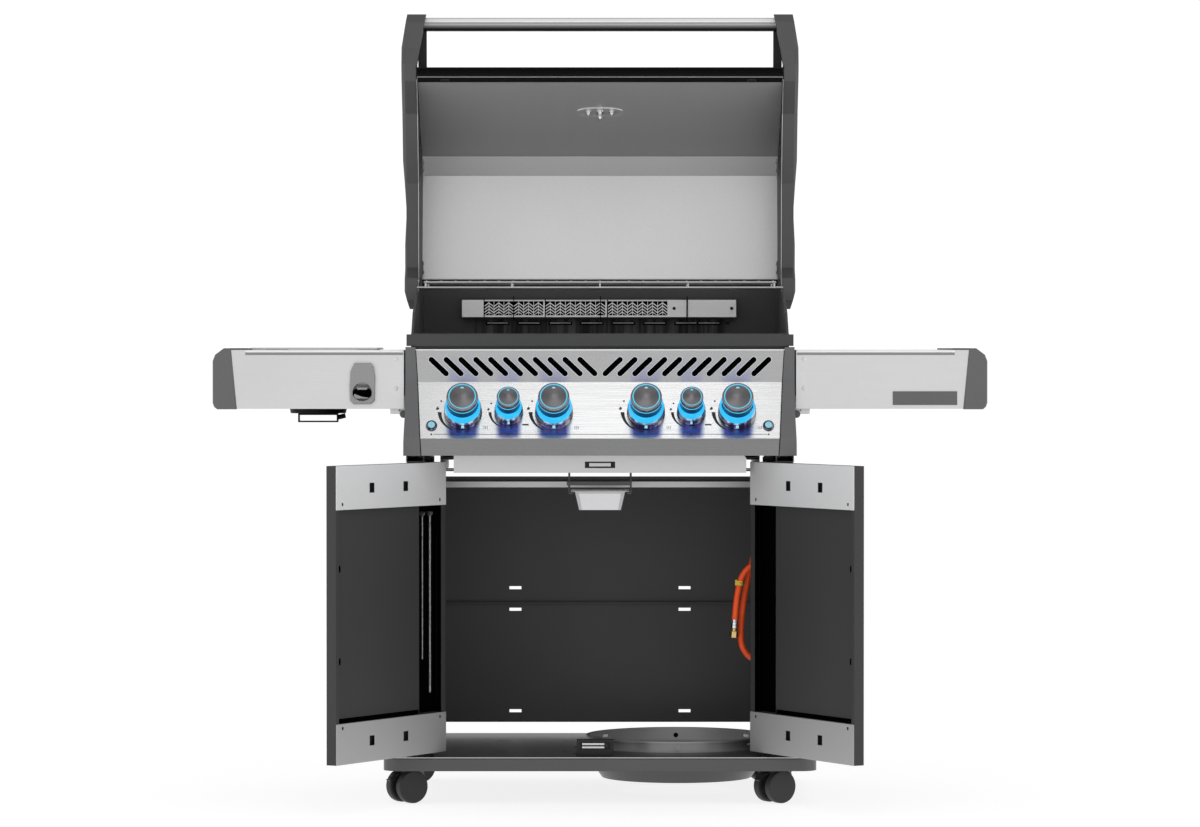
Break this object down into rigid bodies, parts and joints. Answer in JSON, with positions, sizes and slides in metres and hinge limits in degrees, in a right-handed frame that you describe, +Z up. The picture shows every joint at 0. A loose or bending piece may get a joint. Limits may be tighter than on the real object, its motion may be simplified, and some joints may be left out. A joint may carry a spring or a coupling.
{
  "type": "gas barbecue grill",
  "caption": "Free-standing gas barbecue on a cart with a hinged lid, cabinet doors, folding side shelves, side burner and lit control knobs.",
  "frame": {"origin": "on the floor under the middle of the whole grill, with its lid and doors open as drawn", "axes": "+X to the cook's right when facing the grill, +Y to the rear, +Z up"},
  "size_m": [1.59, 1.001, 1.6522],
  "materials": {
    "dark_paint": "fine textured powder coat",
    "black_paint": "satin",
    "grey_paint": "satin",
    "cast_paint": "textured",
    "lid_paint": "satin",
    "liner_grey": "satin",
    "stainless": "brushed",
    "stainless_rod": "satin",
    "chrome": "polished",
    "knob_chrome": "polished",
    "zinc": "zinc plated",
    "aluminium": "pressed",
    "cast_grey": "satin",
    "grey_plastic": "moulded",
    "black_plastic": "moulded",
    "black_enamel": "enamel",
    "wheel_grey": "moulded",
    "orange_rubber": "smooth",
    "brass": "machined"
  },
  "bodies": {
    "cart": {"base_pan": "dark_paint", "tank_ring": "dark_paint", "cabinet_side_left": "dark_paint", "cabinet_side_right": "dark_paint", "cabinet_back_lower": "dark_paint", "cabinet_back_upper": "dark_paint", "rear_frame": "grey_paint", "side_frames": "grey_paint", "front_brace": "stainless", "door_magnets": "black_plastic", "door_hinge_pins": "black_paint", "firebox": "cast_paint", "rear_burner": "stainless", "burners": "stainless", "flame_tamers": "stainless", "control_panel": "stainless", "panel_end_caps": "grey_plastic", "knob_bezels": "chrome", "gas_manifold": "zinc", "gas_hose": "orange_rubber", "hose_end": "brass"},
    "cooking_grids": {"cooking_grids": "stainless_rod"},
    "warming_rack": {"warming_rack": "chrome"},
    "drip_tray": {"drip_tray": "grey_paint"},
    "grease_cup": {"grease_cup": "aluminium"},
    "lid": {"lid_skin": "lid_paint", "lid_liner": "liner_grey", "lid_caps": "cast_paint", "lid_handle": "stainless", "lid_gauge": "stainless"},
    "left_shelf": {"left_shelf_panel": "stainless", "left_shelf_cap": "grey_plastic", "bottle_opener": "cast_grey", "side_burner": "black_enamel"},
    "burner_cover": {"burner_cover": "stainless"},
    "right_shelf": {"right_shelf_panel": "stainless", "right_shelf_cap": "grey_plastic"},
    "left_door": {"left_door_pan": "dark_paint", "left_door_plates": "stainless", "lighting_rod": "chrome"},
    "right_door": {"right_door_pan": "dark_paint", "right_door_plates": "stainless"},
    "knob_1": {"knob_1": "knob_chrome"},
    "knob_2": {"knob_2": "knob_chrome"},
    "knob_3": {"knob_3": "knob_chrome"},
    "knob_4": {"knob_4": "knob_chrome"},
    "knob_5": {"knob_5": "knob_chrome"},
    "knob_6": {"knob_6": "knob_chrome"},
    "button_left": {"button_left": "chrome"},
    "button_right": {"button_right": "chrome"},
    "caster_front_left": {"caster_front_left_fork": "black_plastic"},
    "caster_front_left_wheels": {"caster_front_left_wheels": "wheel_grey"},
    "caster_front_left_brake": {"caster_front_left_brake": "black_plastic"},
    "caster_front_right": {"caster_front_right_fork": "black_plastic"},
    "caster_front_right_wheels": {"caster_front_right_wheels": "wheel_grey"},
    "caster_front_right_brake": {"caster_front_right_brake": "black_plastic"},
    "caster_rear_left": {"caster_rear_left_fork": "black_plastic"},
    "caster_rear_left_wheels": {"caster_rear_left_wheels": "wheel_grey"},
    "caster_rear_right": {"caster_rear_right_fork": "black_plastic"},
    "caster_rear_right_wheels": {"caster_rear_right_wheels": "wheel_grey"}
  },
  "joints": [
    {"name": "lid_hinge", "type": "hinge", "parent": "cart", "child": "lid", "pos_m": [0, 0.27289, 1.062], "axis": [1, 0, 0], "range_deg": [0, 87]},
    {"name": "left_door_hinge", "type": "hinge", "parent": "cart", "child": "left_door", "pos_m": [-0.352, -0.19511, 0.107], "axis": [0, 0, 1], "range_deg": [-8, 121.5]},
    {"name": "right_door_hinge", "type": "hinge", "parent": "cart", "child": "right_door", "pos_m": [0.346, -0.19511, 0.107], "axis": [0, 0, -1], "range_deg": [-8, 119.5]},
    {"name": "left_shelf_fold", "type": "hinge", "parent": "cart", "child": "left_shelf", "pos_m": [-0.404, 0.02889, 0.803], "axis": [0, -1, 0], "range_deg": [0, 80]},
    {"name": "right_shelf_fold", "type": "hinge", "parent": "cart", "child": "right_shelf", "pos_m": [0.404, 0.02889, 0.803], "axis": [0, 1, 0], "range_deg": [0, 90]},
    {"name": "burner_cover_hinge", "type": "hinge", "parent": "left_shelf", "child": "burner_cover", "pos_m": [-0.592, 0.18689, 0.936], "axis": [-1, 0, 0], "range_deg": [0, 95]},
    {"name": "cooking_grids_lift", "type": "slide", "parent": "cart", "child": "cooking_grids", "axis": [0, 0, -1], "range_m": [-0.05, 0]},
    {"name": "warming_rack_lift", "type": "slide", "parent": "cart", "child": "warming_rack", "axis": [0, 0, -1], "range_m": [-0.06, 0]},
    {"name": "drip_tray_slide", "type": "slide", "parent": "cart", "child": "drip_tray", "axis": [0, 1, 0], "range_m": [0, 0.4]},
    {"name": "grease_cup_slide", "type": "slide", "parent": "cart", "child": "grease_cup", "axis": [0, -1, 0], "range_m": [0, 0.1]},
    {"name": "knob_1_turn", "type": "hinge", "parent": "cart", "child": "knob_1", "pos_m": [-0.28, -0.24032, 0.8064], "axis": [0, -0.8834, 0.4686], "range_deg": [0, 225]},
    {"name": "knob_2_turn", "type": "hinge", "parent": "cart", "child": "knob_2", "pos_m": [-0.1865, -0.24032, 0.8064], "axis": [0, -0.8834, 0.4686], "range_deg": [0, 225]},
    {"name": "knob_3_turn", "type": "hinge", "parent": "cart", "child": "knob_3", "pos_m": [-0.094, -0.24032, 0.8064], "axis": [0, -0.8834, 0.4686], "range_deg": [0, 225]},
    {"name": "knob_4_turn", "type": "hinge", "parent": "cart", "child": "knob_4", "pos_m": [0.094, -0.24032, 0.8064], "axis": [0, -0.8834, 0.4686], "range_deg": [0, 225]},
    {"name": "knob_5_turn", "type": "hinge", "parent": "cart", "child": "knob_5", "pos_m": [0.1865, -0.24032, 0.8064], "axis": [0, -0.8834, 0.4686], "range_deg": [0, 225]},
    {"name": "knob_6_turn", "type": "hinge", "parent": "cart", "child": "knob_6", "pos_m": [0.28, -0.24032, 0.8064], "axis": [0, -0.8834, 0.4686], "range_deg": [0, 225]},
    {"name": "button_left_push", "type": "slide", "parent": "cart", "child": "button_left", "axis": [0, 0.8834, -0.4686], "range_m": [0, 0.003], "stiffness_N_per_m": 400},
    {"name": "button_right_push", "type": "slide", "parent": "cart", "child": "button_right", "axis": [0, 0.8834, -0.4686], "range_m": [0, 0.003], "stiffness_N_per_m": 400},
    {"name": "caster_front_left_swivel", "type": "hinge", "parent": "cart", "child": "caster_front_left", "pos_m": [-0.38, -0.13311, 0.08], "axis": [0, 0, 1], "continuous": true},
    {"name": "caster_front_left_roll", "type": "hinge", "parent": "caster_front_left", "child": "caster_front_left_wheels", "pos_m": [-0.39907, -0.14597, 0.034], "axis": [0.5592, -0.829, 0], "continuous": true},
    {"name": "caster_front_left_brake_press", "type": "hinge", "parent": "caster_front_left", "child": "caster_front_left_brake", "pos_m": [-0.41399, -0.15604, 0.054], "axis": [0.5592, -0.829, 0], "range_deg": [-6, 6]},
    {"name": "caster_front_right_swivel", "type": "hinge", "parent": "cart", "child": "caster_front_right", "pos_m": [0.38, -0.13311, 0.08], "axis": [0, 0, 1], "continuous": true},
    {"name": "caster_front_right_roll", "type": "hinge", "parent": "caster_front_right", "child": "caster_front_right_wheels", "pos_m": [0.36093, -0.14597, 0.034], "axis": [0.5592, -0.829, 0], "continuous": true},
    {"name": "caster_front_right_brake_press", "type": "hinge", "parent": "caster_front_right", "child": "caster_front_right_brake", "pos_m": [0.34601, -0.15604, 0.054], "axis": [0.5592, -0.829, 0], "range_deg": [-6, 6]},
    {"name": "caster_rear_left_swivel", "type": "hinge", "parent": "cart", "child": "caster_rear_left", "pos_m": [-0.38, 0.33289, 0.08], "axis": [0, 0, 1], "continuous": true},
    {"name": "caster_rear_left_roll", "type": "hinge", "parent": "caster_rear_left", "child": "caster_rear_left_wheels", "pos_m": [-0.39907, 0.32003, 0.034], "axis": [0.5592, -0.829, 0], "continuous": true},
    {"name": "caster_rear_right_swivel", "type": "hinge", "parent": "cart", "child": "caster_rear_right", "pos_m": [0.38, 0.33289, 0.08], "axis": [0, 0, 1], "continuous": true},
    {"name": "caster_rear_right_roll", "type": "hinge", "parent": "caster_rear_right", "child": "caster_rear_right_wheels", "pos_m": [0.36093, 0.32003, 0.034], "axis": [0.5592, -0.829, 0], "continuous": true}
  ]
}
